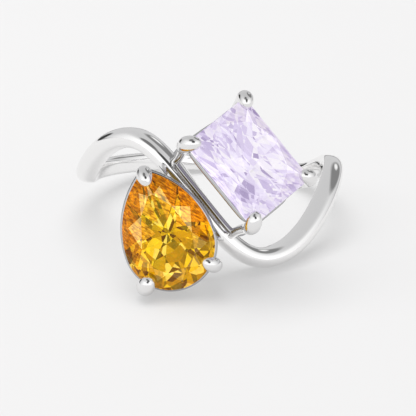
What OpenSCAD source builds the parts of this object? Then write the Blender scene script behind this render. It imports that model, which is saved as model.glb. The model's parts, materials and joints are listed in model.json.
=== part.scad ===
// Ring with two stones on a waved band: a pear and a cut-corner rectangle sit side by side.
// It is shaped round the finger's axis (Z up, front to -Y) and then laid down as it rests.

/* [Band] */
// Inner diameter of the band, the finger size
finger_d = 17.3; // [15:0.1:20]
// Width of the band across its path
band_w = 1.5; // [1:0.05:2]
// Thickness of the band outwards from the finger
band_t = 1.6; // [1:0.05:2]
// Height of the crest at the left front above the rear shank
crest_h = 4.15; // [3:0.05:5]
// Depth of the trough at the right front below the rear shank
trough_h = 4.15; // [3.5:0.05:5.5]
// Height of the shoulder at the right above the rear shank
shoulder_h = 1.6; // [1:0.05:3]

/* [Pear stone] */
// Length of the pear from its tip to its round end
pear_l = 8.7; // [7:0.1:10]
// Width of the pear
pear_w = 6.3; // [5:0.1:7]
// Distance of its girdle from the finger's axis
pear_reach = 13.2; // [12.8:0.1:14]

/* [Octagon stone] */
// Length of the cut-corner stone
octagon_l = 7.3; // [6.5:0.1:8]
// Width of the cut-corner stone
octagon_w = 5.65; // [5:0.05:6.2]
// Length that each corner loses along a side
octagon_cut = 0.65; // [0.5:0.05:1.2]
// Distance of its girdle from the finger's axis
octagon_reach = 13.2; // [12.8:0.1:14]

/* [Settings] */
// Radius of the gallery rails' wire
rail_r = 0.24; // [0.18:0.01:0.3]
// Radius of a claw's rounded head
claw_r = 0.52; // [0.45:0.01:0.62]
// Gap between a stone and the metal that holds it
stone_gap = 0.04; // [0.02:0.01:0.08]

/* [Hidden] */

bore_r = finger_d / 2;
mid_r = bore_r + band_t / 2;
outer_r = bore_r + band_t;
// Rails keep their middle lines this far from the axis, clear of the finger
rail_clear_r = bore_r + 0.15 + rail_r;

// The wave of the band: highs and lows of its middle line, by angle round the finger from the front
ANGLE = 0;
HEIGHT = 1;
WAVE = [
    [-180, 0],
    [-100, 0],
    [-41, crest_h],
    [22, -trough_h],
    [90, shoulder_h],
    [126, 0],
    [180, 0]
];

// The band has this many stations in its whole turn, and its half-round outside this many points
STATIONS = 120;
CROWN_POINTS = 9;
// Share of the band's thickness that its half-round outside takes
CROWN_SHARE = 0.62;
// Powers that fill its curve out from a plain ellipse, across and upwards
CROWN_FULL = [0.9, 0.95];
// Its inner edges are eased in from the sides by this much, in this many steps
EASE = 0.35;
EASE_POINTS = 3;
// The swept band starts this far inside the bore, which then cuts it to a true cylinder
BORE_STOCK = 0.12;

// Where each stone sits: angle round the finger, height, reach, and how its face looks
TURN = 0;
LIFT = 1;
REACH = 2;
FACE_AZ = 3;
FACE_EL = 4;
ROLL = 5;
PEAR_SEAT = [-15.5, -2.55, pear_reach, -6, 5, 22.4];
OCTAGON_SEAT = [7, 3.6, octagon_reach, 12, 23, -53];

// Heights in a stone's own frame, up from its girdle
PEAR_UPPER_RAIL = -0.5;
PEAR_LOWER_RAIL = -3.05;
OCTAGON_UPPER_RAIL = -0.7;
OCTAGON_LOWER_RAIL = -4.3;
// Two of the octagon's claws reach on down into the band
OCTAGON_BAND_FOOT = -5.7;
// The rails' middle lines draw in from the stone's outline by this much, the octagon's lower one
// by its own along and across
PEAR_RAIL_IN = 0.06;
PEAR_DRAW_IN = 0.5;
OCTAGON_RAIL_IN = 0.2;
OCTAGON_DRAW_IN = [-0.05, 0.15];
RAIL_SIDES = 8;
PEAR_RAIL_STATIONS = 36;
// The octagon's rails have a station at these shares of each side, which rounds its corners
RAIL_BREAKS = [0.12, 0.5, 0.88];

// A claw's middle line: mm out from the girdle, mm up from it, and the share of claw_r there
OUT = 0;
UP = 1;
SHARE = 2;
CLAW_HEAD = [
    [0.24, -1.40, 0.74],
    [0.36, -0.85, 0.84],
    [0.43, -0.35, 0.98],
    [0.40, 0.06, 1.08],
    [0.24, 0.38, 1.08],
    [0.02, 0.57, 1.00],
    [-0.20, 0.63, 0.86],
    [-0.38, 0.64, 0.66],
    [-0.49, 0.64, 0.44],
    [-0.55, 0.64, 0.16]
];
FOOT_SHARE = 0.65;
CLAW_SIDES = 12;
// The claws' feet end this far below the lower rail, and the octagon's this far inside its outline
CLAW_PAST_RAIL = 0.15;
OCTAGON_FOOT_IN = 0.05;
// Directions of the pear's two lower claws in its own frame, and its smaller claw over the tip
PEAR_CLAWS = [-140, -43];
PEAR_CLAW_INSET = 0.15;
TIP_CLAW_INSET = 0.6;
TIP_CLAW_SIZE = 0.9;

// Cut of the stones: the pear's table is this far in from its outline, the octagon's a share of it
PEAR_TABLE_IN = 1.3;
OCTAGON_TABLE = 0.62;
// Heights as shares of a stone's width, and of those, how high the stars and how deep the lows reach
CROWN_HEIGHT = 0.15;
PAVILION_DEPTH = 0.44;
STAR_SHARE = 0.52;
LOW_SHARE = 0.74;
GIRDLE_T = 0.16;
// The space cut for a stone is wider than the stone by this many gaps, so its slopes clear it too
SPACE_GAPS = 3;
// Where the pear's main facets meet its girdle, once round from the tip, and steps between two
PEAR_MAINS = [0.013, 0.096, 0.225, 0.345, 0.44, 0.56, 0.655, 0.775, 0.904, 0.987];
PEAR_STEPS = 2;
// the pear's facets gather round a point a little above the middle of its round end
PEAR_HEART = [0, 0.5];

// Turn of the resting ring that brings its front to -Y
FACING = 4.5;

function unit(v) = v / norm(v);
function between(a, b, k) = a + (b - a) * k;

// The band's middle line
function easing(t) = (1 - cos(180 * t)) / 2;
function wrapped(a) = a > 180 ? a - 360 : (a < -180 ? a + 360 : a);
function leg(a, i = 0) = i >= len(WAVE) - 2 || a <= WAVE[i + 1][ANGLE] ? i : leg(a, i + 1);
function raw_wave(a) =
    let (b = wrapped(a), i = leg(b), p = WAVE[i], q = WAVE[i + 1])
    between(p[HEIGHT], q[HEIGHT], easing((b - p[ANGLE]) / (q[ANGLE] - p[ANGLE])));
// the mean over a few degrees keeps the curve soft where two legs meet
function wave(a) = (raw_wave(a - 6) + 2 * raw_wave(a - 3) + 2 * raw_wave(a)
    + 2 * raw_wave(a + 3) + raw_wave(a + 6)) / 8;
function wave_slope(a) = (wave(a + 1) - wave(a - 1)) / (2 * mid_r * PI / 180);

// A point of the band: s across the path and r from the axis, on the station at angle a
function band_point(a, s, r) =
    let (m = wave_slope(a), c = 1 / sqrt(1 + m * m), b = a - s * m * c / mid_r * 180 / PI)
    [r * sin(b), -r * cos(b), wave(a) + s * c];

// The band's section as [s, r], from the upper inner edge round the outside to the lower one
crown_rise = CROWN_SHARE * band_t;
function crown_point(k) =
    let (t = 180 * k / (CROWN_POINTS - 1), c = cos(t))
    [band_w / 2 * sign(c) * pow(abs(c), CROWN_FULL[0]),
        outer_r + crown_rise * (pow(sin(t), CROWN_FULL[1]) - 1)];
ease_rise = band_t - crown_rise;
function ease_point(k, side) =
    let (t = 90 * k / EASE_POINTS)
    [side * (band_w / 2 - EASE + EASE * sin(t)),
        bore_r + ease_rise - (ease_rise + BORE_STOCK) * cos(t)];
SECTION = concat(
    [for (k = [0 : EASE_POINTS - 1]) ease_point(k, 1)],
    [for (k = [0 : CROWN_POINTS - 1]) crown_point(k)],
    [for (k = [EASE_POINTS - 1 : -1 : 0]) ease_point(k, -1)]
);
function band_angle(i) = -180 + 360 * i / STATIONS;
BAND_RINGS = [for (i = [0 : STATIONS - 1])
    [for (p = SECTION) band_point(band_angle(i), p[0], p[1])]];

// A stone's own frame has x to its right, y up and z out of its face
function axes(seat) =
    let (az = seat[FACE_AZ], el = seat[FACE_EL], q = seat[ROLL],
        n = [sin(az) * cos(el), -cos(az) * cos(el), sin(el)],
        r = [cos(az), sin(az), 0],
        u = cross(n, r))
    [cos(q) * r + sin(q) * u, -sin(q) * r + cos(q) * u, n];
function seat_origin(seat) =
    [seat[REACH] * sin(seat[TURN]), -seat[REACH] * cos(seat[TURN]), seat[LIFT]];
function in_ring(seat, p) =
    let (e = axes(seat)) seat_origin(seat) + p[0] * e[0] + p[1] * e[1] + p[2] * e[2];

// Pear outline: a half circle, and two wider arcs that run on from it and meet at the tip.
// t runs from 0 at the tip once round, and grow moves the outline outwards.
pear_r = pear_w / 2;
pear_h = pear_l - pear_r;
arc_shift = (pear_h * pear_h - pear_r * pear_r) / (2 * pear_r);
arc_r = pear_r + arc_shift;
function pear_side(u, grow) = u < 0.5
    ? let (a = acos(arc_shift / (arc_r + grow)) * (1 - 2 * u))
        [(arc_r + grow) * cos(a) - arc_shift, (arc_r + grow) * sin(a)]
    : let (a = -180 * (u - 0.5)) [(pear_r + grow) * cos(a), (pear_r + grow) * sin(a)];
function pear_outline(t, grow = 0) = t <= 0.5
    ? let (p = pear_side(2 * t, grow)) [-p[0], p[1]]
    : pear_side(2 - 2 * t, grow);

// Octagon outline: its eight corners, and points along its sides
function octagon_corners(grow = [0, 0]) =
    let (x = octagon_l / 2 + grow[0], y = octagon_w / 2 + grow[1], c = octagon_cut)
    [[x, c - y], [x, y - c], [x - c, y], [c - x, y], [-x, y - c], [-x, c - y], [c - x, -y], [x - c, -y]];
function along_sides(corners, shares) =
    [for (i = [0 : len(corners) - 1], k = shares)
        between(corners[i], corners[(i + 1) % len(corners)], k)];

// A gallery rail: a round wire along an outline at height z
function outward(path, i) =
    let (n = len(path), d = path[(i + 1) % n] - path[(i + n - 1) % n]) unit([d[1], -d[0]]);
function rail_rings(seat, path, z) = [for (i = [0 : len(path) - 1])
    let (c = [path[i][0], path[i][1], z], o = outward(path, i),
        p = in_ring(seat, c), away = norm([p[0], p[1]]),
        shift = max(rail_clear_r - away, 0) * unit([p[0], p[1], 0]))
    [for (j = [0 : RAIL_SIDES - 1])
        let (t = 360 * (j + 0.5) / RAIL_SIDES)
        in_ring(seat, c + rail_r * [o[0] * cos(t), o[1] * cos(t), -sin(t)]) + shift]];

// A claw: from its foot up past the girdle at q, then in over the stone's edge with a round head
function claw_line(foot, draw_in) = concat(
    [[-draw_in, foot, FOOT_SHARE], [-draw_in * 0.5, (foot + CLAW_HEAD[0][UP]) / 2, FOOT_SHARE]],
    CLAW_HEAD
);
function claw_rings(seat, q, d, foot, draw_in, size = 1) =
    let (line = claw_line(foot, draw_in), last = len(line) - 1, side = [-d[1], d[0], 0])
    [for (i = [0 : last])
        let (c = [q[0] + d[0] * line[i][OUT], q[1] + d[1] * line[i][OUT], line[i][UP]],
            a = line[max(i - 1, 0)], b = line[min(i + 1, last)],
            run = unit([d[0] * (b[OUT] - a[OUT]), d[1] * (b[OUT] - a[OUT]), b[UP] - a[UP]]),
            lift = cross(run, side), r = claw_r * size * line[i][SHARE])
        [for (j = [0 : CLAW_SIDES - 1])
            let (t = 360 * j / CLAW_SIDES)
            in_ring(seat, c + r * (cos(t) * side + sin(t) * lift))]];

PEAR_RAIL = [for (i = [0 : PEAR_RAIL_STATIONS - 1]) (i + 0.5) / PEAR_RAIL_STATIONS];
PEAR_UPPER = rail_rings(PEAR_SEAT,
    [for (t = PEAR_RAIL) pear_outline(t, -PEAR_RAIL_IN)], PEAR_UPPER_RAIL);
PEAR_LOWER = rail_rings(PEAR_SEAT,
    [for (t = PEAR_RAIL) pear_outline(t, -PEAR_DRAW_IN)], PEAR_LOWER_RAIL);
OCTAGON_UPPER = rail_rings(OCTAGON_SEAT,
    along_sides(octagon_corners(-[OCTAGON_RAIL_IN, OCTAGON_RAIL_IN]), RAIL_BREAKS), OCTAGON_UPPER_RAIL);
OCTAGON_LOWER = rail_rings(OCTAGON_SEAT,
    along_sides(octagon_corners(-OCTAGON_DRAW_IN), RAIL_BREAKS), OCTAGON_LOWER_RAIL);
pear_foot = PEAR_LOWER_RAIL - CLAW_PAST_RAIL;
PEAR_CLAW_RINGS = concat(
    [claw_rings(PEAR_SEAT, [0, pear_h - TIP_CLAW_INSET], [0, 1], pear_foot, PEAR_DRAW_IN,
        TIP_CLAW_SIZE)],
    [for (a = PEAR_CLAWS)
        let (d = [cos(a), sin(a)])
        claw_rings(PEAR_SEAT, (pear_r - PEAR_CLAW_INSET) * d, d, pear_foot, PEAR_DRAW_IN)]
);
octagon_foot = OCTAGON_LOWER_RAIL - CLAW_PAST_RAIL;
OCTAGON_CLAW_RINGS = [for (sx = [-1, 1], sy = [-1, 1])
    let (q = [sx * (octagon_l - octagon_cut) / 2, sy * (octagon_w - octagon_cut) / 2],
        foot = sy < 0 ? OCTAGON_BAND_FOOT : octagon_foot)
    claw_rings(OCTAGON_SEAT, q, unit([sx, sy]), foot, OCTAGON_FOOT_IN)];

// A brilliant cut over any outline: table, stars, kites, upper facets, girdle and pavilion.
// girdle holds its points, per of them from one main facet to the next. Each main facet is a plane
// that runs along its bend at the girdle, and above reaches the table and below the culet.
function plane(p, bend, q) = [p, cross([bend[0], bend[1], 0], q - p)];
// where two planes meet, at height z
function meeting(a, b, z) =
    let (n = a[1], m = b[1], s = n * a[0] - n[2] * z, t = m * b[0] - m[2] * z,
        w = n[0] * m[1] - n[1] * m[0])
    [(s * m[1] - n[1] * t) / w, (n[0] * t - s * m[0]) / w, z];
function at(p, z) = [p[0], p[1], z];
function cut_points(girdle, bends, table, heart, w) =
    let (mains = len(bends), per = len(girdle) / mains, top = GIRDLE_T / 2,
        high = top + CROWN_HEIGHT * w, culet = at(heart, -top - PAVILION_DEPTH * w),
        kites = [for (i = [0 : mains - 1])
            plane(at(girdle[i * per], top), bends[i], at(table[i], high))],
        unders = [for (i = [0 : mains - 1]) plane(at(girdle[i * per], -top), bends[i], culet)],
        star_z = top + CROWN_HEIGHT * w * STAR_SHARE,
        low_z = -top - PAVILION_DEPTH * w * LOW_SHARE)
    concat(
        [for (p = table) at(p, high)],
        [for (i = [0 : mains - 1]) meeting(kites[i], kites[(i + 1) % mains], star_z)],
        [for (p = girdle) at(p, top)],
        [for (p = girdle) at(p, -top)],
        [for (i = [0 : mains - 1]) meeting(unders[i], unders[(i + 1) % mains], low_z)],
        [culet]
    );
function cut_faces(mains, per) =
    let (total = mains * per, rim = 2 * mains, under = rim + total, low = under + total,
        culet = low + mains)
    concat(
        [[for (i = [mains - 1 : -1 : 0]) i]],
        [for (i = [0 : mains - 1]) [i, (i + 1) % mains, mains + i]],
        [for (i = [0 : mains - 1]) [i, mains + i, rim + i * per]],
        [for (i = [0 : mains - 1]) [i, rim + i * per, mains + (i + mains - 1) % mains]],
        [for (i = [0 : mains - 1], k = [0 : per - 1])
            [mains + i, rim + (i * per + k + 1) % total, rim + i * per + k]],
        [for (k = [0 : total - 1])
            [rim + k, rim + (k + 1) % total, under + (k + 1) % total, under + k]],
        [for (i = [0 : mains - 1], k = [0 : per - 1])
            [low + i, under + i * per + k, under + (i * per + k + 1) % total]],
        [for (i = [0 : mains - 1]) [culet, under + i * per, low + i]],
        [for (i = [0 : mains - 1]) [culet, low + (i + mains - 1) % mains, under + i * per]]
    );
pear_per = 2 * PEAR_STEPS;
function next_main(i) = i + 1 < len(PEAR_MAINS) ? PEAR_MAINS[i + 1] : PEAR_MAINS[0] + 1;
PEAR_TURNS = [for (i = [0 : len(PEAR_MAINS) - 1], k = [0 : pear_per - 1])
    let (t = between(PEAR_MAINS[i], next_main(i), k / pear_per)) t > 1 ? t - 1 : t];
PEAR_BENDS = [for (t = PEAR_MAINS) unit(pear_outline(t + 0.004) - pear_outline(t - 0.004))];
PEAR_CUT = cut_points([for (t = PEAR_TURNS) pear_outline(t)], PEAR_BENDS,
    [for (t = PEAR_MAINS) pear_outline(t, -PEAR_TABLE_IN)], PEAR_HEART, pear_w);
OCTAGON_RIM = octagon_corners();
OCTAGON_BENDS = [for (i = [0 : 7]) unit(OCTAGON_RIM[(i + 1) % 8] - OCTAGON_RIM[(i + 7) % 8])];
OCTAGON_CUT = cut_points(along_sides(OCTAGON_RIM, [0, 0.5]), OCTAGON_BENDS,
    OCTAGON_TABLE * OCTAGON_RIM, [0, 0], octagon_w);

// The ring settles on three points: the rear shank, the trough and the pear's setting.
// Each pass takes the lowest point of each group for the floor found by the pass before.
function lowest(points, up) =
    let (heights = [for (p = points) p * up], low = min(heights))
    [for (i = [0 : len(points) - 1]) if (heights[i] == low) points[i]][0];
function flattened(rings) = [for (r = rings) each r];
REAR = flattened([for (i = [0 : STATIONS - 1]) if (abs(band_angle(i)) > 120) BAND_RINGS[i]]);
TROUGH = flattened([for (i = [0 : STATIONS - 1]) if (abs(band_angle(i) - 22) < 30) BAND_RINGS[i]]);
PEAR_METAL = flattened(concat(PEAR_UPPER, PEAR_LOWER, flattened(PEAR_CLAW_RINGS)));
function floor_normal(up) =
    let (a = lowest(REAR, up), b = lowest(TROUGH, up), c = lowest(PEAR_METAL, up),
        n = unit(cross(b - a, c - a)))
    n[2] < 0 ? -n : n;
function settled(up, passes) = passes == 0 ? up : settled(floor_normal(up), passes - 1);
up_axis = settled([0, 0, 1], 6);
across = unit(cross([sin(FACING), cos(FACING), 0], up_axis));
ahead = cross(up_axis, across);
function resting(p) = [p * across, p * ahead, p * up_axis];
EVERY_POINT = [for (p = concat(flattened(BAND_RINGS), PEAR_METAL, flattened(OCTAGON_UPPER),
    flattened(OCTAGON_LOWER), flattened(flattened(OCTAGON_CLAW_RINGS)),
    [for (c = PEAR_CUT) in_ring(PEAR_SEAT, c)], [for (c = OCTAGON_CUT) in_ring(OCTAGON_SEAT, c)]))
    resting(p)];
low_corner = [for (i = [0 : 2]) min([for (p = EVERY_POINT) p[i]])];
high_corner = [for (i = [0 : 2]) max([for (p = EVERY_POINT) p[i]])];
shift = -[(low_corner[0] + high_corner[0]) / 2, (low_corner[1] + high_corner[1]) / 2, low_corner[2]];

// Lays what is shaped round the finger's axis down on the floor, origin under its middle
module laid_down() {
    multmatrix([
        [across[0], across[1], across[2], shift[0]],
        [ahead[0], ahead[1], ahead[2], shift[1]],
        [up_axis[0], up_axis[1], up_axis[2], shift[2]],
        [0, 0, 0, 1]
    ])
    children();
}

// Puts a stone, shaped round its own girdle, in its seat
module seated(seat) {
    translate(seat_origin(seat))
    rotate([0, 0, seat[FACE_AZ]])
    rotate([90 - seat[FACE_EL], 0, 0])
    rotate([0, 0, seat[ROLL]])
    children();
}

// A solid through rings of points, closed on itself or with an end cap at each end
module swept(rings, closed) {
    n = len(rings);
    m = len(rings[0]);
    walls = [for (i = [0 : n - (closed ? 1 : 2)], j = [0 : m - 1])
        let (a = i * m + j, b = i * m + (j + 1) % m,
            d = ((i + 1) % n) * m + j, c = ((i + 1) % n) * m + (j + 1) % m)
        each [[a, c, b], [a, d, c]]];
    caps = closed ? [] : [[for (j = [0 : m - 1]) j], [for (j = [m - 1 : -1 : 0]) (n - 1) * m + j]];
    polyhedron(points = flattened(rings), faces = concat(walls, caps), convexity = 6);
}

module pear_cut() {
    polyhedron(points = PEAR_CUT, faces = cut_faces(len(PEAR_MAINS), pear_per), convexity = 2);
}

module octagon_cut_stone() {
    polyhedron(points = OCTAGON_CUT, faces = cut_faces(8, 2), convexity = 2);
}

// The space that a stone takes in the metal, a little larger than the stone
module stone_space(w) {
    scale(1 + SPACE_GAPS * stone_gap / w)
    children();
}

module soldered_metal() {
    difference() {
        union() {
            swept(BAND_RINGS, true);
            for (rings = [PEAR_UPPER, PEAR_LOWER, OCTAGON_UPPER, OCTAGON_LOWER]) {
                swept(rings, true);
            }
            for (rings = concat(PEAR_CLAW_RINGS, OCTAGON_CLAW_RINGS)) {
                swept(rings, false);
            }
        }
        seated(PEAR_SEAT) stone_space(pear_w) pear_cut();
        seated(OCTAGON_SEAT) stone_space(octagon_w) octagon_cut_stone();
    }
}

module band_and_settings() {
    color("silver")
    laid_down()
    difference() {
        soldered_metal();
        // the finger's hole, a true cylinder
        translate([0, 0, -outer_r]) cylinder(r = bore_r, h = 2 * outer_r, $fn = 180);
    }
}

module pear_stone() {
    color("orange")
    laid_down()
    seated(PEAR_SEAT)
    pear_cut();
}

module octagon_stone() {
    color("thistle")
    laid_down()
    seated(OCTAGON_SEAT)
    octagon_cut_stone();
}

band_and_settings();
pear_stone();
octagon_stone();
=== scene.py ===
"""Ring with two stones, dressed: a polished waved band, a pear and a cut-corner stone on a pale floor."""

import json
import math

import bmesh
import bpy
from mathutils import Matrix, Vector
from mathutils.geometry import intersect_line_plane, intersect_plane_plane


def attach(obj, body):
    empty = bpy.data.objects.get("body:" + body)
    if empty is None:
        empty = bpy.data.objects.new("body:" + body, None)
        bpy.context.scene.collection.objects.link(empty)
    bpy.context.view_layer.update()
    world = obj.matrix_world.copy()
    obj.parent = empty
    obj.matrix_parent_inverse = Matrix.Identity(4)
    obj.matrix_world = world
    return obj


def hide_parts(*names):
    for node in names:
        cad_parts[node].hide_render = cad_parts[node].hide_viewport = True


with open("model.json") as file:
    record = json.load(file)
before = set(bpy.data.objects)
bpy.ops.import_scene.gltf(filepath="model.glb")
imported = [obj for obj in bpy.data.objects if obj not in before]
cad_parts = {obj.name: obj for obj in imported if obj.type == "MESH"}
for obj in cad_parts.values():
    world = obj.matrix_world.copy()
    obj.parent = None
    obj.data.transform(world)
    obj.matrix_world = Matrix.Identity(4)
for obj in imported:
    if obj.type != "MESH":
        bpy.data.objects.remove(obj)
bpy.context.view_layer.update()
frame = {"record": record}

bl_info = {
    "name": "Toi et moi ring",
    "version": (1, 0, 0),
    "blender": (4, 5, 0),
    "location": "3D View > Sidebar > Ring",
    "description": "Makes a polished two-stone ring and its studio",
    "category": "Object",
}

MM = 0.001
FINGER = frame["record"]["mounts"][0]
FINGER_RADIUS = FINGER["dims"]["r_mm"] * MM
# How far the ring is turned on the floor
FACING = math.radians(4.5)


# Sizes and colours


def length(name, description, mm):
    return bpy.props.FloatProperty(
        name=name,
        description=description,
        default=mm * MM,
        min=0,
        precision=5,
        subtype="DISTANCE",
        unit="LENGTH",
    )


def share(name, description, value):
    return bpy.props.FloatProperty(
        name=name, description=description, default=value, min=0, max=1, subtype="FACTOR"
    )


def count(name, description, value):
    return bpy.props.IntProperty(name=name, description=description, default=value, min=3)


def colour(name, description, value):
    return bpy.props.FloatVectorProperty(
        name=name, description=description, default=value, size=3, min=0, max=1, subtype="COLOR"
    )


def power(name, description, value):
    return bpy.props.FloatProperty(
        name=name, description=description, default=value, min=0, subtype="POWER", unit="POWER"
    )


class RingSizes(bpy.types.PropertyGroup):
    """Sizes of the ring, as its source gives them."""

    band_width: length("Band width", "Width of the band across its path", 1.5)
    band_thickness: length("Band thickness", "Thickness of the band outwards from the finger", 1.6)
    crest: length("Crest", "Height of the crest above the rear shank", 4.15)
    trough: length("Trough", "Depth of the trough below the rear shank", 4.15)
    shoulder: length("Shoulder", "Height of the right shoulder above the rear shank", 1.6)
    band_stations: count("Band stations", "Points along the band's path", 360)
    band_points: count("Band points", "Points round the band's section", 40)
    pear_length: length("Pear length", "From its tip to its round end", 8.7)
    pear_width: length("Pear width", "Across its round end", 6.3)
    octagon_length: length("Octagon length", "Along its long sides", 7.3)
    octagon_width: length("Octagon width", "Across its long sides", 5.65)
    octagon_cut: length("Octagon corner", "What each corner loses along a side", 0.65)
    reach: length("Reach", "From the finger's middle line to a stone's girdle", 13.2)
    rail_radius: length("Rail radius", "Radius of the gallery rails' wire", 0.24)
    claw_radius: length("Claw radius", "Radius of a claw's rounded head", 0.52)
    pear_table: length("Pear table", "How far the table lies inside the pear's outline", 1.3)
    octagon_table: share("Octagon table", "Size of the octagon's table against its outline", 0.62)
    crown: share("Crown", "Height of a stone's crown against its width", 0.15)
    pavilion: share("Pavilion", "Depth of a stone's pavilion against its width", 0.44)
    girdle: length("Girdle", "Thickness of a stone's girdle", 0.16)


class RingColours(bpy.types.PropertyGroup):
    """Colours of the metal and the stones."""

    metal: colour("Metal", "Polished white metal", (0.91, 0.906, 0.902))
    # Painted shade and dark reflection: the rails are the band's white metal, darkened to about half
    wire: colour(
        "Rail metal",
        "White metal of the rails, darker where polishing tools don't reach",
        (0.5, 0.5, 0.505),
    )
    # Painted shade: the claws are the band's white metal, darkened a little to dim their highlights
    claw: colour(
        "Claw metal",
        "White metal of the claws, a little duller than the band",
        (0.83, 0.826, 0.824),
    )
    pear_heart: colour("Pear heart", "Yellow in the middle of the pear", (1.0, 0.97, 0.8))
    pear_rim: colour("Pear rim", "Amber near the pear's girdle", (0.92, 0.41, 0.012))
    pear_sheen: colour("Pear sheen", "Pale light on the pear's star facets", (1.0, 0.78, 0.5))
    lilac: colour("Lilac", "Pale lilac of the octagon", (0.86, 0.78, 0.92))


class StudioLooks(bpy.types.PropertyGroup):
    """Floor, light and lens."""

    floor: colour("Floor", "Pale floor", (0.22, 0.2189, 0.2189))
    glow: colour("Floor glow", "Light that passes up through the floor", (0.44, 0.4387, 0.4387))
    sky: bpy.props.FloatProperty(
        name="Sky", description="Strength of the light all round", default=1.24, min=0
    )
    key: power("Key light", "Power of the soft box behind at the left", 0.3)
    top: power("Top light", "Power of the large soft box overhead", 2.9)
    fill: power("Fill light", "Power of the low soft box at the left", 0.7)
    lens: bpy.props.FloatProperty(
        name="Lens", description="Focal length in mm", default=145.67, min=1, subtype="DISTANCE_CAMERA"
    )


# Where things are: the ring is shaped round the finger, with Z along the finger and its front at -Y


def ring_to_rest():
    """From the frame in which the ring is shaped to the one in which it rests on the floor."""
    up = Vector(FINGER["axis"]).normalized()
    ahead = up.cross(Vector((1, 0, 0))).normalized()
    side = ahead.cross(up)
    x = math.cos(FACING) * side + math.sin(FACING) * ahead
    y = -math.sin(FACING) * side + math.cos(FACING) * ahead
    place = Matrix((x, y, up)).transposed().to_4x4()
    place.translation = Vector(FINGER["pos_m"])
    return place


def seat(turn, lift, face_az, face_el, roll):
    """Frame of a stone in the ring: x to its right, y up and z out of its face.

    The angles are in degrees: turn is the stone's place round the finger, face_az and face_el say where
    its face looks, and roll turns it in its own plane. lift is its height along the finger in mm.
    """
    turn, az, el, q = (math.radians(a) for a in (turn, face_az, face_el, roll))
    reach = bpy.context.scene.ring_sizes.reach
    out = Vector((math.sin(az) * math.cos(el), -math.cos(az) * math.cos(el), math.sin(el)))
    right = Vector((math.cos(az), math.sin(az), 0))
    over = out.cross(right)
    x = math.cos(q) * right + math.sin(q) * over
    y = -math.sin(q) * right + math.cos(q) * over
    place = Matrix((x, y, out)).transposed().to_4x4()
    place.translation = Vector((reach * math.sin(turn), -reach * math.cos(turn), lift * MM))
    return place


def pear_seat():
    return seat(turn=-15.5, lift=-2.55, face_az=-6, face_el=5, roll=22.4)


def octagon_seat():
    return seat(turn=7, lift=3.6, face_az=12, face_el=23, roll=-53)


def raw_wave(a, sizes):
    """The wave's height before it is smoothed: half cosines between its turning points."""
    legs = (
        (-180, 0),
        (-100, 0),
        (-41, sizes.crest),
        (22, -sizes.trough),
        (90, sizes.shoulder),
        (126, 0),
        (180, 0),
    )
    a = (a + 180) % 360 - 180
    (a0, h0), (a1, h1) = next(leg for leg in zip(legs, legs[1:]) if a <= leg[1][0])
    return h0 + (h1 - h0) * (1 - math.cos(math.pi * (a - a0) / (a1 - a0))) / 2


def wave(a, sizes):
    """Height of the band's middle line at an angle round the finger, in degrees from the front."""
    near = ((-6, 1), (-3, 2), (0, 2), (3, 2), (6, 1))
    total = sum(weight for step, weight in near)
    return sum(weight * raw_wave(a + step, sizes) for step, weight in near) / total


def pear_outline(t, sizes, grow=0.0):
    """Point on the pear's outline, t from 0 at the tip once round."""
    r = sizes.pear_width / 2
    h = sizes.pear_length - r
    back = (h * h - r * r) / (2 * r)
    big = r + back
    u = 2 * t if t <= 0.5 else 2 - 2 * t
    if u < 0.5:
        a = math.acos(back / (big + grow)) * (1 - 2 * u)
        p = Vector(((big + grow) * math.cos(a) - back, (big + grow) * math.sin(a)))
    else:
        a = -math.pi * (u - 0.5)
        p = Vector(((r + grow) * math.cos(a), (r + grow) * math.sin(a)))
    return Vector((-p.x, p.y)) if t <= 0.5 else p


def octagon_corners(sizes, grow=(0.0, 0.0)):
    """The octagon's corners in order, its sides moved out by grow."""
    x, y, c = sizes.octagon_length / 2 + grow[0], sizes.octagon_width / 2 + grow[1], sizes.octagon_cut
    right = (x, c - y), (x, y - c), (x - c, y)
    left = (c - x, y), (-x, y - c), (-x, c - y)
    below = (c - x, -y), (x - c, -y)
    return [Vector(p) for p in (*right, *left, *below)]


# Trees of nodes, written as expressions


class Term:
    """A socket in an expression: arithmetic on it adds Math nodes to its tree."""

    def __init__(self, tree, socket):
        self.tree, self.socket = tree, socket

    def math(self, operation, *terms):
        return self.tree.add("ShaderNodeMath", {"operation": operation}, dict(enumerate(terms)))

    def __add__(self, other):
        return self.math("ADD", self, other)

    def __sub__(self, other):
        return self.math("SUBTRACT", self, other)

    def __rsub__(self, other):
        return self.math("SUBTRACT", other, self)

    def __mul__(self, other):
        return self.math("MULTIPLY", self, other)

    def __truediv__(self, other):
        return self.math("DIVIDE", self, other)

    def __mod__(self, other):
        return self.math("MODULO", self, other)

    def __pow__(self, other):
        return self.math("POWER", self, other)

    def __gt__(self, other):
        return self.math("GREATER_THAN", self, other)

    def __abs__(self):
        return self.math("ABSOLUTE", self)

    __radd__ = __add__
    __rmul__ = __mul__

    def up_to(self, most):
        return self.math("MINIMUM", self, most)

    def at_least(self, least):
        return self.math("MAXIMUM", self, least)

    def clamped(self):
        return self.up_to(1).at_least(0)


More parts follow.
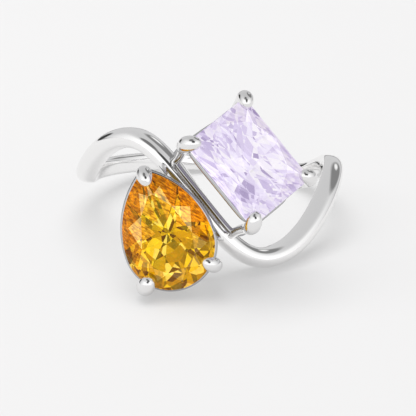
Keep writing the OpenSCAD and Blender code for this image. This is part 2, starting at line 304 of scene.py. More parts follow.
class Tree:
    """A node tree under construction."""

    def __init__(self, tree):
        self.tree = tree

    def add(self, kind, settings=None, sockets=None, out=0):
        """Adds a node: its settings first, then the values or links of its sockets.

        It gives back the output numbered out as a Term, or the node itself where out is None.
        """
        node = self.tree.nodes.new(kind)
        for key, value in (settings or {}).items():
            if key == "stops":
                self.set_stops(node.color_ramp, value)
            elif key == "interpolation":
                node.color_ramp.interpolation = value
            else:
                setattr(node, key, value)
        for key, value in (sockets or {}).items():
            if isinstance(value, Term):
                self.tree.links.new(value.socket, node.inputs[key])
            else:
                node.inputs[key].default_value = value
        return Term(self, node.outputs[out]) if out is not None else node

    def set_stops(self, ramp, stops):
        while len(ramp.elements) < len(stops):
            ramp.elements.new(1)
        for element, (place, shade) in zip(ramp.elements, stops):
            element.position = place
            element.color = (*shade, 1)

    def steps(self, factor, stops):
        """A ramp that jumps from one tone to the next."""
        settings = {"stops": stops, "interpolation": "CONSTANT"}
        return self.add("ShaderNodeValToRGB", settings, {"Fac": factor})

    def mix(self, factor, a, b):
        """Mixes two colours."""
        return self.add("ShaderNodeMix", {"data_type": "RGBA"}, {0: factor, 6: rgba(a), 7: rgba(b)}, out=2)


def rgba(shade):
    """A colour as a socket takes it, or the Term that it already is."""
    return shade if isinstance(shade, Term) else (*shade, 1)


def new_material(name):
    material = bpy.data.materials.new(name)
    material.use_nodes = True
    material.node_tree.nodes.clear()
    return material, Tree(material.node_tree)


def finish_material(tree, sockets):
    shader = tree.add("ShaderNodeBsdfPrincipled", {}, sockets)
    tree.add("ShaderNodeOutputMaterial", {}, {"Surface": shader}, out=None)


# Materials


def polished_metal(name, metal):
    """Polished white metal with a fine brushed haze and hairline scratches."""
    material, tree = new_material(name)
    place = tree.add("ShaderNodeTexCoord", out=3)
    haze = tree.add("ShaderNodeTexNoise", {}, {"Vector": place, "Scale": 900, "Detail": 4})
    sockets = {"Vector": place, "Scale": (1, 1, 9), "Rotation": (0.3, 0.2, 0)}
    stretch = tree.add("ShaderNodeMapping", {}, sockets)
    scratch = tree.add("ShaderNodeTexNoise", {}, {"Vector": stretch, "Scale": 2600, "Detail": 2})
    tone = tree.mix(haze * 0.35, metal, [c * 0.93 for c in metal])
    rough = 0.04 + 0.04 * haze
    bump = tree.add("ShaderNodeBump", {}, {"Height": scratch, "Strength": 0.02, "Distance": 0.00002})
    finish_material(tree, {"Base Color": tone, "Metallic": 1.0, "Roughness": rough, "Normal": bump})
    return material


def drawn_out(tree, plan, turn, scale):
    """Coordinates turned and then scaled, so that a texture on them is drawn out along a slanting line."""
    sockets = {"Vector": plan, "Rotation": (0, 0, turn), "Scale": [1 / s for s in scale]}
    return tree.add("ShaderNodeMapping", {"vector_type": "TEXTURE"}, sockets)


def yellow_gem():
    """Clear yellow stone, orange towards its girdle with painted streaks of reflection there, and a painted
    pale sheen that glows on its star facets.
    """
    looks = bpy.context.scene.ring_colours
    material, tree = new_material("yellow_stone")
    plan = tree.add("ShaderNodeUVMap", {"uv_map": "plan"})
    rim = tree.add("ShaderNodeAttribute", {"attribute_name": "rim"}, out=2)
    sheen = tree.add("ShaderNodeAttribute", {"attribute_name": "sheen"}, out=2)
    # Painted reflection: darker streaks in the amber near the girdle
    along = drawn_out(tree, plan, -0.7, (9, 55, 1))
    streak = tree.add("ShaderNodeTexNoise", {}, {"Vector": along, "Scale": 1.0, "Detail": 3})
    lines = ((streak - 0.35) * 3.0).clamped()
    orange = tree.mix(lines, [c * 0.42 for c in looks.pear_rim], looks.pear_rim)
    tone = tree.mix(rim, looks.pear_heart, orange)
    # Painted sheen: the star facets glow pale
    glow = tree.mix(sheen * (lines * 0.4 + 0.6), (0, 0, 0), looks.pear_sheen)
    sockets = {
        "Base Color": tone,
        "Roughness": 0.0,
        "IOR": 1.6,
        "Specular Tint": (0.4, 0.34, 0.2, 1),
        "Transmission Weight": 1.0,
        "Emission Color": glow,
        "Emission Strength": 0.3,
    }
    finish_material(tree, sockets)
    return material


def painted_pavilion(name, layers, spokes, stops, mirror, outside, fine=None, fringe=None):
    """A pavilion of painted reflections: shards of tone that glow and tint its mirror; from outside it is a
    plain tone, glowing too.

    layers are sets of cells, each with its turn and its scale, spokes is a point and a number of wedges
    round it, and the overlaps of all of them are the shards. Near the girdle, fine is one more layer and
    fringe is two tones in painted flecks of reflection.
    """
    material, tree = new_material(name)
    plan = tree.add("ShaderNodeUVMap", {"uv_map": "plan"})
    rim = tree.add("ShaderNodeAttribute", {"attribute_name": "rim"}, out=2)

    def cells(turn, scale):
        sockets = {"Vector": drawn_out(tree, plan, turn, scale), "Scale": 1.0}
        cell = tree.add("ShaderNodeTexVoronoi", {}, sockets, out=1)
        return tree.add("ShaderNodeSeparateXYZ", {}, {"Vector": cell})

    centre_x, centre_y, wedges = spokes
    parts = tree.add("ShaderNodeSeparateXYZ", {}, {"Vector": plan}, out=None)
    side, ahead = Term(tree, parts.outputs[0]) - centre_x, Term(tree, parts.outputs[1]) - centre_y
    angle = ahead.math("ARCTAN2", ahead, side)
    uneven = angle + angle.math("SINE", angle * 3.0) * 0.2
    wedge = angle.math("FLOOR", uneven * (wedges / math.tau) + 0.3)
    chances = tree.add("ShaderNodeTexWhiteNoise", {"noise_dimensions": "1D"}, {"W": wedge})
    for layer in layers:
        chances = chances + cells(*layer)
    if fine:
        chances = chances + cells(*fine) * rim
    tone = tree.steps(chances % 1.0, stops)
    if fringe:
        streaks = drawn_out(tree, plan, -0.9, (14, 40, 1))
        fleck = tree.add("ShaderNodeTexNoise", {}, {"Vector": streaks, "Scale": 1.0})
        tone = tree.mix(rim, tone, tree.mix(((fleck - 0.4) * 5).clamped(), *fringe))
    inside = Term(tree, tree.add("ShaderNodeNewGeometry", out=None).outputs["Backfacing"])
    tone = tree.mix(inside, outside, tone)
    # Painted reflection: the shard tones glow and tint the mirror
    sockets = {
        "Base Color": tree.mix(mirror, (0, 0, 0), tone),
        "Roughness": 0.0,
        "Metallic": 1.0,
        "Emission Color": tone,
        "Emission Strength": 0.75,
    }
    finish_material(tree, sockets)
    return material


def yellow_depths():
    """Painted reflections in lemon, gold, olive and brown."""
    stops = (
        (0.0, (0.12, 0.05, 0.001)),
        (0.12, (0.5, 0.29, 0.002)),
        (0.3, (0.95, 0.68, 0.02)),
        (0.42, (0.2, 0.14, 0.002)),
        (0.55, (0.62, 0.4, 0.004)),
        (0.72, (1.0, 0.82, 0.14)),
        (0.84, (0.32, 0.2, 0.002)),
    )
    layers = ((0.3, (4.4, 6.4, 1)), (1.2, (3.4, 6.0, 1)), (2.1, (3.8, 5.0, 1)))
    fringe = (0.42, 0.17, 0.002), (1.0, 0.56, 0.03)
    spokes = (0.5, 0.62, 11)
    return painted_pavilion("yellow_stone_depths", layers, spokes, stops, 0.55, (0.18, 0.12, 0.035), fringe=fringe)


def lilac_depths():
    """Painted reflections in white and lilac, in long shards that cross at small angles."""
    stops = (
        (0.0, (0.92, 0.87, 1.0)),
        (0.2, (0.74, 0.66, 0.87)),
        (0.34, (1.0, 0.97, 1.0)),
        (0.52, (0.48, 0.4, 0.62)),
        (0.56, (0.84, 0.77, 0.95)),
        (0.76, (0.64, 0.56, 0.78)),
        (0.84, (0.97, 0.93, 1.0)),
    )
    layers = ((0.14, (1.9, 9.5, 1)), (-0.2, (2.3, 8.0, 1)))
    spokes = (0.6, 0.5, 7)
    return painted_pavilion("lilac_stone_depths", layers, spokes, stops, 0.24, (0.54, 0.49, 0.64), (0.45, (5, 17, 1)))


def lilac_gem():
    """Clear pale lilac stone, a little deeper towards its girdle."""
    looks = bpy.context.scene.ring_colours
    material, tree = new_material("lilac_stone")
    plan = tree.add("ShaderNodeUVMap", {"uv_map": "plan"})
    rim = tree.add("ShaderNodeAttribute", {"attribute_name": "rim"}, out=2)
    sheen = tree.add("ShaderNodeAttribute", {"attribute_name": "sheen"}, out=2)
    along = drawn_out(tree, plan, 0.4, (3, 24, 1))
    streak = tree.add("ShaderNodeTexNoise", {}, {"Vector": along, "Scale": 1.0, "Detail": 2})
    lines = ((streak - 0.35) * 3.0).clamped()
    deeper = tree.mix(lines, [c * 0.8 for c in looks.lilac], looks.lilac)
    # Painted sheen: the star facets glow faintly white
    sockets = {
        "Base Color": tree.mix(rim, (0.97, 0.95, 1.0), deeper),
        "Roughness": 0.0,
        "IOR": 1.6,
        "Specular IOR Level": 0.3,
        "Transmission Weight": 1.0,
        "Emission Color": tree.mix(sheen, (0.0, 0.0, 0.0), (1.0, 0.97, 1.0)),
        "Emission Strength": 0.12,
    }
    finish_material(tree, sockets)
    return material


# Meshes


def new_object(name, mesh):
    thing = bpy.data.objects.new(name, mesh)
    bpy.context.scene.collection.objects.link(thing)
    return thing


def path_object(name, paths, closed):
    """Polylines to sweep along.

    Each point is a place in the ring's frame and a share of the wire's radius.
    """
    points = [p for path in paths for p in path]
    edges, start = [], 0
    for path in paths:
        last = len(path) if closed else len(path) - 1
        edges += [(start + i, start + (i + 1) % len(path)) for i in range(last)]
        start += len(path)
    mesh = bpy.data.meshes.new(name)
    mesh.from_pydata([p[0] for p in points], edges, [])
    thickness = mesh.attributes.new("thickness", "FLOAT", "POINT")
    thickness.data.foreach_set("value", [p[1] for p in points])
    return new_object(name, mesh)


def sweep_tree(name, inputs, section):
    """Sweeps a section along the object's polylines, then holds the result clear of the finger."""
    group = bpy.data.node_groups.new(name, "GeometryNodeTree")
    group.interface.new_socket("Geometry", in_out="INPUT", socket_type="NodeSocketGeometry")
    for label, kind, value in inputs:
        socket = group.interface.new_socket(label, in_out="INPUT", socket_type="NodeSocket" + kind)
        if value is not None:
            socket.default_value = value
    group.interface.new_socket("Geometry", in_out="OUTPUT", socket_type="NodeSocketGeometry")
    tree = Tree(group)
    entry = tree.add("NodeGroupInput", out=None)
    given = {socket.name: Term(tree, socket) for socket in entry.outputs if socket.name}
    path = tree.add("GeometryNodeMeshToCurve", {}, {"Mesh": given["Geometry"]})
    path = tree.add("GeometryNodeCurveSplineType", {"spline_type": "CATMULL_ROM"}, {"Curve": path})
    sockets = {"Geometry": path, "Resolution": given["Smoothness"]}
    path = tree.add("GeometryNodeSetSplineResolution", {}, sockets)
    path = tree.add("GeometryNodeSetCurveNormal", {"mode": "Z_UP"}, {"Curve": path})
    size = tree.add("GeometryNodeInputNamedAttribute", {"data_type": "FLOAT"}, {"Name": "thickness"})
    profile = section(tree, given)
    sweep = {"Curve": path, "Profile Curve": profile, "Scale": size, "Fill Caps": True}
    solid = tree.add("GeometryNodeCurveToMesh", {}, sweep)
    sockets = {"Geometry": solid, "Position": clear_of_finger(tree, given)}
    solid = tree.add("GeometryNodeSetPosition", {}, sockets)
    solid = tree.add("GeometryNodeSetShadeSmooth", {}, {"Geometry": solid})
    solid = tree.add("GeometryNodeRealizeInstances", {}, {"Geometry": solid})
    solid = tree.add("GeometryNodeSetMaterial", {}, {"Geometry": solid, "Material": given["Material"]})
    tree.add("NodeGroupOutput", {}, {"Geometry": solid}, out=None)
    return group


def clear_of_finger(tree, given):
    """Each point's place, moved out to the finger's radius where it would lie inside it."""
    place = tree.add("GeometryNodeInputPosition")
    parts = tree.add("ShaderNodeSeparateXYZ", {}, {"Vector": place}, out=None)
    x, y, z = (Term(tree, socket) for socket in parts.outputs)
    away = (x * x + y * y) ** 0.5
    push = (given["Finger radius"] / away).at_least(1)
    return tree.add("ShaderNodeCombineXYZ", {}, {"X": x * push, "Y": y * push, "Z": z})


def round_section(tree, given):
    """The wire's round section."""
    sockets = {"Resolution": given["Sides"], "Radius": given["Radius"]}
    return tree.add("GeometryNodeCurvePrimitiveCircle", {}, sockets)


def band_section(tree, given):
    """Half round outside and a flat inside with eased edges."""
    ring = tree.add("GeometryNodeCurvePrimitiveCircle", {}, {"Resolution": given["Sides"], "Radius": 1.0})
    index = tree.add("GeometryNodeInputIndex")
    turn = index * (2 * math.pi) / given["Sides"]
    c, s = turn.math("COSINE", turn), turn.math("SINE", turn)
    outside = s > 0
    swell = 0.55 + 0.35 * outside
    across = given["Width"] / 2 * c.math("SIGN", c) * abs(c) ** swell
    rise = given["Thickness"] * given["Crown share"]
    wall = given["Thickness"] - rise
    base = given["Thickness"] / 2 - rise
    up = base + outside * rise * abs(s) ** 0.95 - (1 - outside) * wall * abs(s) ** 0.55
    place = tree.add("ShaderNodeCombineXYZ", {}, {"X": up, "Y": across, "Z": 0.0})
    return tree.add("GeometryNodeSetPosition", {}, {"Geometry": ring, "Position": place})


# Inputs of the sweep trees: label, kind and default
COMMON_INPUTS = (
    ("Smoothness", "Int", 6),
    ("Finger radius", "Float", FINGER_RADIUS),
    ("Material", "Material", None),
)
BAND_INPUTS = (
    ("Width", "Float", 0.0),
    ("Thickness", "Float", 0.0),
    ("Crown share", "Float", 0.62),
    ("Sides", "Int", 40),
    *COMMON_INPUTS,
)
WIRE_INPUTS = (("Radius", "Float", 0.0), ("Sides", "Int", 16), *COMMON_INPUTS)
SWEEPS = {"band_sweep": (BAND_INPUTS, band_section), "wire_sweep": (WIRE_INPUTS, round_section)}


def swept(name, paths, closed, kind, values, finish="polished_white_metal"):
    """Runs a sweep tree over paths in the ring's frame and lays the plain mesh down as it rests."""
    guide = path_object(name + "_path", paths, closed)
    group = bpy.data.node_groups.get(kind) or sweep_tree(kind, *SWEEPS[kind])
    inputs = [item for item in group.interface.items_tree if item.in_out == "INPUT"]
    sockets = {item.name: item.identifier for item in inputs}
    modifier = guide.modifiers.new(kind, "NODES")
    modifier.node_group = group
    for label, value in values.items():
        modifier[sockets[label]] = value
    modifier[sockets["Material"]] = metal_finish(finish)
    plain = bpy.data.meshes.new_from_object(guide.evaluated_get(bpy.context.evaluated_depsgraph_get()))
    bpy.data.objects.remove(guide)
    plain.name = name
    plain.transform(ring_to_rest())
    tidy(plain)
    return new_object(name, plain)


def tidy(mesh):
    """Merges doubles and points every face outwards."""
    work = bmesh.new()
    work.from_mesh(mesh)
    bmesh.ops.remove_doubles(work, verts=work.verts, dist=1e-7)
    bmesh.ops.recalc_face_normals(work, faces=work.faces)
    work.to_mesh(mesh)
    work.free()
    if not mesh.polygons:
        raise RuntimeError(f"{mesh.name} came out empty")


def metal_finish(name):
    """The metal by its name, made when a piece first asks for it."""
    looks = bpy.context.scene.ring_colours
    # The rail and claw metals are darkened copies of the band's metal: painted shade
    metal = {"rail_white_metal": looks.wire, "claw_white_metal": looks.claw}.get(name, looks.metal)
    return bpy.data.materials.get(name) or polished_metal(name, metal)


def dressed(piece, node):
    """Hangs a finished piece under the root and hides the solid of the source that it stands in for."""
    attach(piece, "root")
    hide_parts(node)


# Room between the rails and the finger
FINGER_ROOM = 0.15 * MM


def rail_path(frame_of_seat, outline, height, sizes):
    """A rail's middle line in the ring's frame, pushed outwards where it would come near the finger."""
    clear = FINGER_RADIUS + FINGER_ROOM + sizes.rail_radius
    path = []
    for p in outline:
        q = frame_of_seat @ Vector((p.x, p.y, height))
        away = math.hypot(q.x, q.y)
        push = max(clear - away, 0) / away
        path.append((Vector((q.x * (1 + push), q.y * (1 + push), q.z)), 1.0))
    return path


# A claw's middle line: mm out from the girdle, mm up from it, and the share of its radius there
CLAW_HEAD = (
    (0.24, -1.40, 0.74),
    (0.36, -0.85, 0.84),
    (0.43, -0.35, 0.98),
    (0.40, 0.06, 1.08),
    (0.24, 0.38, 1.08),
    (0.02, 0.57, 1.00),
    (-0.20, 0.63, 0.86),
    (-0.38, 0.64, 0.66),
    (-0.49, 0.64, 0.44),
    (-0.55, 0.64, 0.20),
    (-0.565, 0.64, 0.02),
)


def claw_path(frame_of_seat, base, way, foot, draw_in, size=1.0):
    """A claw's middle line, from its foot to the end of its head over the stone's edge.

    base is its place at the girdle and way its direction outwards, both in the stone's own plane. Its
    foot is that many mm up from the girdle and draw_in mm inwards, and size makes the whole claw thicker.
    """
    line = [(-draw_in, foot, 0.64), (-draw_in / 2, (foot + CLAW_HEAD[0][1]) / 2, 0.66), *CLAW_HEAD]
    path = []
    for out, up, thick in line:
        p = Vector((base[0] + way[0] * out * MM, base[1] + way[1] * out * MM, up * MM))
        path.append((frame_of_seat @ p, thick * size))
    return path


# Stones


# Heights as shares of the crown's and the pavilion's: where the stars end, and where the lows meet
STAR_HEIGHT = 0.52
LOW_DEPTH = 0.74
# The least share of the girdle's half thickness that stays below and above the half facets
GIRDLE_LEAST = 0.1


def level(point, z):
    return Vector((point.x, point.y, z))


def main_planes(rims, bends, ends, z):
    """Planes of the main facets, each from a girdle point at height z, along its bend and up to its end."""
    planes = []
    for rim, bend, end in zip(rims, bends, ends):
        start = level(rim, z)
        planes.append((start, Vector((*bend, 0)).cross(end - start).normalized()))
    return planes


def meeting(planes, i, z):
    """Where a main facet's plane meets the next one's, at height z."""
    (a, n), (b, m) = planes[i], planes[(i + 1) % len(planes)]
    point, line = intersect_plane_plane(a, n, b, m)
    return intersect_line_plane(point, point + line, Vector((0, 0, z)), Vector((0, 0, 1)))


def onto_facet(apex, points, z):
    """A stretch of the girdle's points, brought onto the plane of the half facet that ends at apex."""
    normal = (level(points[0], z) - apex).cross(level(points[-1], z) - apex)
    least = GIRDLE_LEAST * z
    row = []
    for p in points:
        height = apex.z - ((p.x - apex.x) * normal.x + (p.y - apex.y) * normal.y) / normal.z
        row.append(level(p, max(height, least) if z > 0 else min(height, least)))
    return row


def cut_stone(name, outline, bends, table, heart, width, sizes, place, low_rim):
    """A brilliant cut over any outline, every kite and main a true plane.

    outline holds the girdle's points, one main for each of bends and the same number of steps from one
    to the next. bends are the outline's directions at the mains, table the table's corners and heart
    the culet's place. low_rim is how much the front half of the pavilion shows the girdle's tones.
    """
    mains = len(bends)
    per = len(outline) // mains
    top = sizes.girdle / 2
    crown, depth = sizes.crown * width, sizes.pavilion * width
    girdle = [Vector((*p, 0)) for p in outline]
    corners = [level(p, top + crown) for p in table]
    culet = level(Vector(heart), -top - depth)
    kites = main_planes(girdle[::per], bends, corners, top)
    unders = main_planes(girdle[::per], bends, [culet] * mains, -top)
    stars = [meeting(kites, i, top + crown * STAR_HEIGHT) for i in range(mains)]
    lows = [meeting(unders, i, -top - depth * LOW_DEPTH) for i in range(mains)]
    upper, lower = [], []
    for i in range(mains):
        for first in (i * per, i * per + per // 2):
            points = [girdle[(first + j) % len(girdle)] for j in range(per // 2 + 1)]
            upper += onto_facet(stars[i], points, top)[:-1]
            lower += onto_facet(lows[i], points, -top)[:-1]
    mesh = cut_mesh(name, (corners, stars, upper, lower, lows, [culet]), per, width, low_rim)
    mesh.transform(ring_to_rest() @ place)
    return new_object(name, mesh)


def cut_mesh(name, rows, per, width, low_rim):
    """The facets between the rows of points, with how much each shows the rim's tone and the sheen."""
    work = bmesh.new()
    plan = work.loops.layers.uv.new("plan")
    rim = work.faces.layers.float.new("rim")
    sheen = work.faces.layers.float.new("sheen")
    corners, stars, upper, lower, lows, (culet,) = ([work.verts.new(p) for p in row] for row in rows)
    mains, total = len(corners), len(upper)
    work.faces.new(corners)
    for i in range(mains):
        after = (i + 1) % mains
        star = work.faces.new((stars[i], corners[after], corners[i]))
        # Painted sheen: star facets in the stone's upper half glow fully, the others less
        star[sheen] = 1.0 if stars[i].co.y > 0 else 0.3
        kite = work.faces.new((corners[i], stars[i - 1], upper[i * per], stars[i]))
        kite[rim] = 1.0 if upper[i * per].co.y > 0 else 0.3
        work.faces.new((culet, lows[i], lower[i * per], lows[i - 1]))
    for i in range(mains):
        for k in (0, 1):
            first = i * per + k * (per // 2)
            row = [(first + j) % total for j in range(per // 2 + 1)]
            upper_half = work.faces.new([stars[i]] + [upper[j] for j in reversed(row)])
            upper_half[rim] = 1.0 if stars[i].co.y > 0 else 0.2 + 0.4 * k
            lower_half = work.faces.new([lows[i]] + [lower[j] for j in row])
            lower_half[rim] = 0.9 if stars[i].co.y > 0 else low_rim
    for j in range(total):
        after = (j + 1) % total
        work.faces.new((upper[j], lower[j], lower[after], upper[after]))
    bmesh.ops.recalc_face_normals(work, faces=work.faces)
    for face in work.faces:
        face.material_index = 1 if face.normal.z < -0.1 else 0
        for corner in face.loops:
            corner[plan].uv = (corner.vert.co.x / width + 0.5, corner.vert.co.y / width + 0.5)
    mesh = bpy.data.meshes.new(name)
    work.to_mesh(mesh)
    work.free()
    return mesh


# Operators


class RING_OT_band(bpy.types.Operator):
    """Make the waved band."""

    bl_idname = "ring.band"
    bl_label = "Band"

    def execute(self, context):
        sizes = context.scene.ring_sizes
        middle = FINGER_RADIUS + sizes.band_thickness / 2
        path = []
        for i in range(sizes.band_stations):
            a = 360 * i / sizes.band_stations
            turn = math.radians(a)
            path.append((Vector((middle * math.sin(turn), -middle * math.cos(turn), wave(a, sizes))), 1.0))
        values = {
            "Width": sizes.band_width,
            "Thickness": sizes.band_thickness,
            "Sides": sizes.band_points,
            "Smoothness": 1,
        }
        dressed(swept("band", [path], True, "band_sweep", values), "band_and_settings")
        return {"FINISHED"}


# Heights of the rails in their stones' frames
PEAR_UPPER_RAIL = -0.5 * MM
PEAR_LOWER_RAIL = -3.05 * MM
OCTAGON_UPPER_RAIL = -0.7 * MM
OCTAGON_LOWER_RAIL = -4.3 * MM


class RING_OT_rails(bpy.types.Operator):
    """Make the gallery rails under both stones."""

    bl_idname = "ring.rails"
    bl_label = "Gallery rails"

    def execute(self, context):
        sizes = context.scene.ring_sizes
        pear, octagon = pear_seat(), octagon_seat()

        def round_pear(inset):
            return [pear_outline((i + 0.5) / 60, sizes, -inset * MM) for i in range(60)]

        def round_octagon(x, y):
            corners = octagon_corners(sizes, (-x * MM, -y * MM))
            sides = zip(corners, corners[1:] + corners[:1])
            return [a.lerp(b, k) for a, b in sides for k in (0.12, 0.5, 0.88)]

        values = {"Radius": sizes.rail_radius, "Sides": 18, "Smoothness": 6}
        pear_paths = [
            rail_path(pear, round_pear(0.06), PEAR_UPPER_RAIL, sizes),
            rail_path(pear, round_pear(0.5), PEAR_LOWER_RAIL, sizes),
        ]
        octagon_paths = [
            rail_path(octagon, round_octagon(0.2, 0.2), OCTAGON_UPPER_RAIL, sizes),
            rail_path(octagon, round_octagon(-0.05, 0.15), OCTAGON_LOWER_RAIL, sizes),
        ]
        for name, paths in (("pear_rails", pear_paths), ("octagon_rails", octagon_paths)):
            rails = swept(name, paths, True, "wire_sweep", values, "rail_white_metal")
            dressed(rails, "band_and_settings")
        return {"FINISHED"}


# Heights of the claws' feet from the girdle and how far in they stand, in mm
PEAR_CLAW_FOOT = -3.2
PEAR_CLAW_IN = 0.5
OCTAGON_CLAW_FOOT = -4.45
OCTAGON_CLAW_IN = 0.05
# Two of the octagon's claws reach on down into the band
OCTAGON_BAND_FOOT = -5.7
# How far inside the outline the pear's claws cross the girdle: the one over the tip, and the others
TIP_CLAW_INSET = 0.6 * MM
PEAR_CLAW_INSET = 0.15 * MM
# Directions of the pear's two lower claws in degrees, and their sizes
PEAR_CLAWS = ((-140, 1.18), (-43, 1.0))


class RING_OT_claws(bpy.types.Operator):
    """Make the claws that hold both stones."""

    bl_idname = "ring.claws"
    bl_label = "Claws"

    def execute(self, context):
        sizes = context.scene.ring_sizes
        pear, octagon = pear_seat(), octagon_seat()
        r = sizes.pear_width / 2
        tip = (0, sizes.pear_length - r - TIP_CLAW_INSET)
        pear_paths = [claw_path(pear, tip, (0, 1), PEAR_CLAW_FOOT, PEAR_CLAW_IN)]
        for a, size in PEAR_CLAWS:
            way = (math.cos(math.radians(a)), math.sin(math.radians(a)))
            base = ((r - PEAR_CLAW_INSET) * way[0], (r - PEAR_CLAW_INSET) * way[1])
            pear_paths.append(claw_path(pear, base, way, PEAR_CLAW_FOOT, PEAR_CLAW_IN, size))
        octagon_paths = []
        x = (sizes.octagon_length - sizes.octagon_cut) / 2
        y = (sizes.octagon_width - sizes.octagon_cut) / 2
        for right, over in ((-1, -1), (-1, 1), (1, -1), (1, 1)):
            way = Vector((right, over)).normalized()
            foot = OCTAGON_BAND_FOOT if over < 0 else OCTAGON_CLAW_FOOT
            octagon_paths.append(claw_path(octagon, (right * x, over * y), way, foot, OCTAGON_CLAW_IN))
        values = {"Radius": sizes.claw_radius, "Sides": 28, "Smoothness": 6}
        for name, paths in (("pear_claws", pear_paths), ("octagon_claws", octagon_paths)):
            claws = swept(name, paths, False, "wire_sweep", values, "claw_white_metal")
            dressed(claws, "band_and_settings")
        return {"FINISHED"}


# Where the pear's mains stand, as shares of the way round from its tip, and the steps between them
PEAR_MAINS = (0.013, 0.096, 0.225, 0.345, 0.44, 0.56, 0.655, 0.775, 0.904, 0.987)
PEAR_STEPS = 12
# Where its culet lies, from the middle of its round end
PEAR_HEART = (0, 0.5 * MM)


class RING_OT_pear(bpy.types.Operator):
    """Make the yellow pear-cut stone."""

    bl_idname = "ring.pear"
    bl_label = "Pear stone"

    def execute(self, context):
        sizes = context.scene.ring_sizes
        near = 0.004
        outline, bends = [], []
        for a, b in zip(PEAR_MAINS, (*PEAR_MAINS[1:], 1 + PEAR_MAINS[0])):
            turns = [(a + (b - a) * k / PEAR_STEPS) % 1 for k in range(PEAR_STEPS)]
            outline += [pear_outline(t, sizes) for t in turns]
            bends.append((pear_outline(a + near, sizes) - pear_outline(a - near, sizes)).normalized())
        table = [pear_outline(t, sizes, -sizes.pear_table) for t in PEAR_MAINS]
        width = sizes.pear_width
        stone = cut_stone("pear_cut", outline, bends, table, PEAR_HEART, width, sizes, pear_seat(), 0.1)
        stone.data.materials.append(yellow_gem())
        stone.data.materials.append(yellow_depths())
        dressed(stone, "pear_stone")
        return {"FINISHED"}


class RING_OT_octagon(bpy.types.Operator):
    """Make the lilac stone with cut corners."""

    bl_idname = "ring.octagon"
    bl_label = "Octagon stone"

    def execute(self, context):
        sizes = context.scene.ring_sizes
        corners = octagon_corners(sizes)
        outline = [a.lerp(b, k) for a, b in zip(corners, corners[1:] + corners[:1]) for k in (0, 0.5)]
        bends = [(corners[(i + 1) % 8] - corners[i - 1]).normalized() for i in range(8)]
        table = [p * sizes.octagon_table for p in corners]
        width = sizes.octagon_width
        stone = cut_stone("octagon_cut", outline, bends, table, (0, 0), width, sizes, octagon_seat(), 0.7)
        stone.data.materials.append(lilac_gem())
        stone.data.materials.append(lilac_depths())
        dressed(stone, "octagon_stone")
        return {"FINISHED"}


# Grey panels round the ring, in degrees: azimuth from the front, height, how wide each is at its soft edge
# and where it is full, and its shade
PANELS = [
    (math.radians(turn), math.radians(rise), math.radians(outer), math.radians(inner), tone)
    for turn, rise, outer, inner, tone in (
        (138, 40, 27, 20, 0.2),
        (152, 34, 9, 4, 0.8),
        (8, 45, 20, 14, 0.06),
        (-30, 68, 20, 14, 0.16),
        (-130, 6, 16, 11, 0.04),
    )
]


# The camera: its place round the ring, its height, its roll, its distance from the ring's middle, and
# how far the picture's middle lies left of that and below it, as shares of the distance
CAMERA_ANGLES = (-4.5, 10, 2.7)
CAMERA_DISTANCE = 130 * MM
CAMERA_AIM = (0.000297, 0.008911)
FLOOR_RADIUS = 1.5


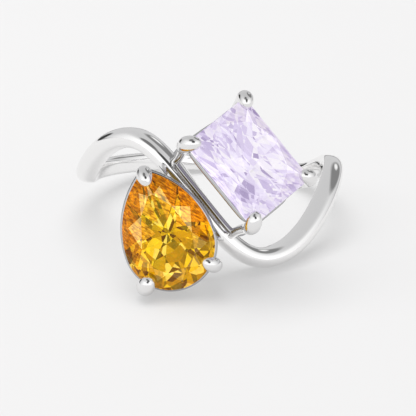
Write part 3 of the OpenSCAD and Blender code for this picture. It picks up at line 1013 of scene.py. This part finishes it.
class RING_OT_studio(bpy.types.Operator):
    """Make the floor, the light and the camera."""

    bl_idname = "ring.studio"
    bl_label = "Studio"

    def execute(self, context):
        looks = context.scene.ring_studio
        self.make_floor(looks)
        self.make_light(context.scene, looks)
        self.make_camera(context.scene, looks)
        return {"FINISHED"}

    def make_floor(self, looks):
        work = bmesh.new()
        bmesh.ops.create_circle(work, cap_ends=True, segments=96, radius=FLOOR_RADIUS)
        mesh = bpy.data.meshes.new("floor")
        work.to_mesh(mesh)
        work.free()
        material, tree = new_material("pale_floor")
        place = tree.add("ShaderNodeTexCoord", out=3)
        grain = tree.add("ShaderNodeTexNoise", {}, {"Vector": place, "Scale": 220, "Detail": 3})
        tone = tree.mix(grain * 0.3, looks.floor, [c * 0.985 for c in looks.floor])
        sockets = {
            "Base Color": tone,
            "Roughness": 0.75,
            "Specular IOR Level": 0.2,
            "Emission Color": rgba(looks.glow),
            "Emission Strength": 1.0,
        }
        finish_material(tree, sockets)
        floor = new_object("floor", mesh)
        floor.data.materials.append(material)

    def make_light(self, scene, looks):
        """White in front, grey behind and overhead, a dark line low behind, panels and soft boxes."""
        world = bpy.data.worlds.new("studio")
        world.use_nodes = True
        world.node_tree.nodes.clear()
        scene.world = world
        tree = Tree(world.node_tree)
        way = tree.add("ShaderNodeTexCoord")
        parts = tree.add("ShaderNodeSeparateXYZ", {}, {"Vector": way}, out=None)
        north, height = (Term(tree, parts.outputs[k]) for k in (1, 2))
        front = (0.4 - north).clamped()
        high = ((height - 0.6) * 3).clamped()
        shade = tree.mix(front, (0.54, 0.54, 0.545), (1.0, 1.0, 1.0))
        shade = tree.mix(high, shade, (0.52, 0.52, 0.525))
        edge = (1 - abs(height - 0.03) * 16).clamped() * (north * 2).clamped()
        shade = tree.mix(edge, shade, (0.16, 0.16, 0.165))
        for turn, rise, outer, inner, tone in PANELS:
            flat = math.cos(rise)
            aim = Vector((math.sin(turn) * flat, -math.cos(turn) * flat, math.sin(rise)))
            near = tree.add("ShaderNodeVectorMath", {"operation": "DOT_PRODUCT"}, {0: way, 1: aim}, out=1)
            start, full = math.cos(outer), math.cos(inner)
            shade = tree.mix(((near - start) * (1 / (full - start))).clamped(), shade, (tone, tone, tone))
        sky = tree.add("ShaderNodeBackground", {}, {"Color": shade, "Strength": looks.sky})
        tree.add("ShaderNodeOutputWorld", {}, {"Surface": sky}, out=None)
        self.soft_box("key_light", looks.key, 0.2, (-0.1, 0.15, 0.43))
        self.soft_box("top_light", looks.top, 0.4, (-0.03, 0.03, 0.45))
        self.soft_box("fill_light", looks.fill, 0.3, (-0.35, -0.05, 0.3))

    def soft_box(self, name, power, size, place):
        lamp = bpy.data.lights.new(name, "AREA")
        lamp.shape = "SQUARE"
        lamp.size = size
        lamp.energy = power
        box = new_object(name, lamp)
        box.location = place
        box.rotation_euler = (-Vector(place)).to_track_quat("-Z", "Y").to_euler()
        box.visible_glossy = box.visible_transmission = False

    def make_camera(self, scene, looks):
        """Looks at the ring from the front and above, as the photo does."""
        az, el, roll = (math.radians(a) for a in CAMERA_ANGLES)
        back = Vector((math.sin(az) * math.cos(el), -math.cos(az) * math.cos(el), math.sin(el)))
        side = Vector((math.cos(az), math.sin(az), 0))
        over = back.cross(side)
        right = math.cos(roll) * side + math.sin(roll) * over
        up = -math.sin(roll) * side + math.cos(roll) * over
        aim = (-back - CAMERA_AIM[0] * right - CAMERA_AIM[1] * up).normalized()
        right = aim.cross(up).normalized()
        lens = bpy.data.cameras.new("camera")
        lens.lens = looks.lens
        lens.clip_start, lens.clip_end = 0.005, 10
        camera = new_object("camera", lens)
        place = Matrix((right, right.cross(aim), -aim)).transposed().to_4x4()
        place.translation = Vector((0, 0, -1 * MM)) + CAMERA_DISTANCE * back
        camera.matrix_world = ring_to_rest() @ place
        scene.camera = camera
        scene.view_settings.view_transform = "Standard"


class RING_PT_sidebar(bpy.types.Panel):
    """Ring sizes, colours and pieces."""

    bl_idname = "RING_PT_sidebar"
    bl_label = "Ring"
    bl_space_type = "VIEW_3D"
    bl_region_type = "UI"
    bl_category = "Ring"

    def draw(self, context):
        for group in ("ring_sizes", "ring_colours", "ring_studio"):
            box = self.layout.box()
            values = getattr(context.scene, group)
            for name in values.__annotations__:
                box.prop(values, name)
        for operator in OPERATORS:
            self.layout.operator(operator.bl_idname)


OPERATORS = (RING_OT_band, RING_OT_rails, RING_OT_claws, RING_OT_pear, RING_OT_octagon, RING_OT_studio)
GROUPS = {"ring_sizes": RingSizes, "ring_colours": RingColours, "ring_studio": StudioLooks}


def register():
    for kind in (*GROUPS.values(), *OPERATORS, RING_PT_sidebar):
        bpy.utils.register_class(kind)
    for name, kind in GROUPS.items():
        setattr(bpy.types.Scene, name, bpy.props.PointerProperty(type=kind))


def unregister():
    for name in GROUPS:
        delattr(bpy.types.Scene, name)
    for kind in reversed((*GROUPS.values(), *OPERATORS, RING_PT_sidebar)):
        bpy.utils.unregister_class(kind)


def main():
    register()
    for operator in OPERATORS:
        group, name = operator.bl_idname.split(".")
        if getattr(getattr(bpy.ops, group), name)() != {"FINISHED"}:
            raise RuntimeError(f"{operator.bl_label} couldn't be made")


if __name__ == "__main__":
    main()
